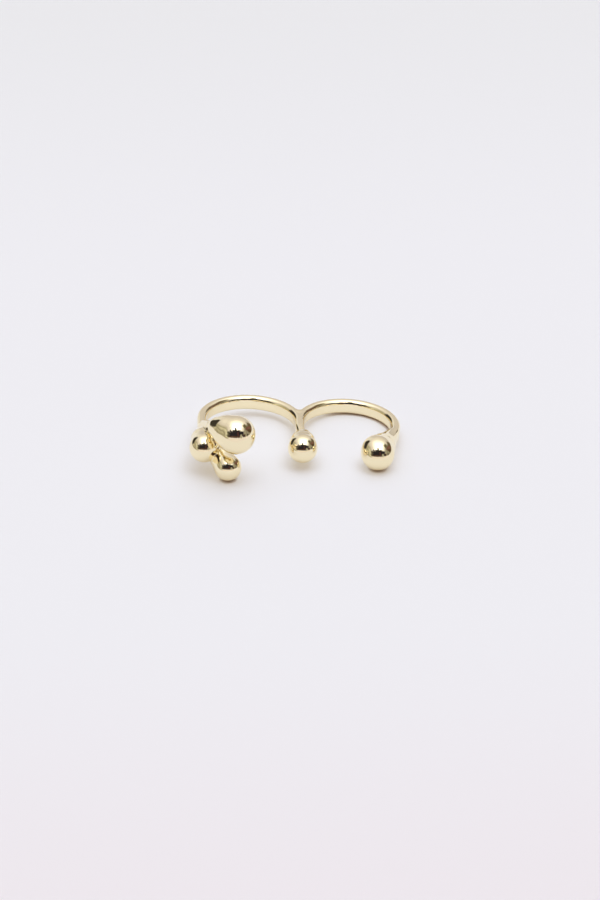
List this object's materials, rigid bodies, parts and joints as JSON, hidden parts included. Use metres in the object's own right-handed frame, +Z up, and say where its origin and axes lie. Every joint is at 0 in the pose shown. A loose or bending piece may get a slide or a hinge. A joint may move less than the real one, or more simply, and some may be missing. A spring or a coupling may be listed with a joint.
{
  "type": "two-finger open ring",
  "caption": "Open ring for two fingers: slim C-shaped loops side by side on a shared stem, with a polished drop on the stem and right end and a cluster of drops on the left end.",
  "frame": {"origin": "middle of the ring's footprint, on the surface that it rests on", "axes": "+Z up from the surface, +X to the right along the row of the finger loops, -Y towards the open ends with the drops"},
  "size_m": [0.0416, 0.0286, 0.0142],
  "materials": {
    "gold_plate": "polished"
  },
  "bodies": {
    "root": {"ring": "gold_plate"}
  },
  "joints": []
}
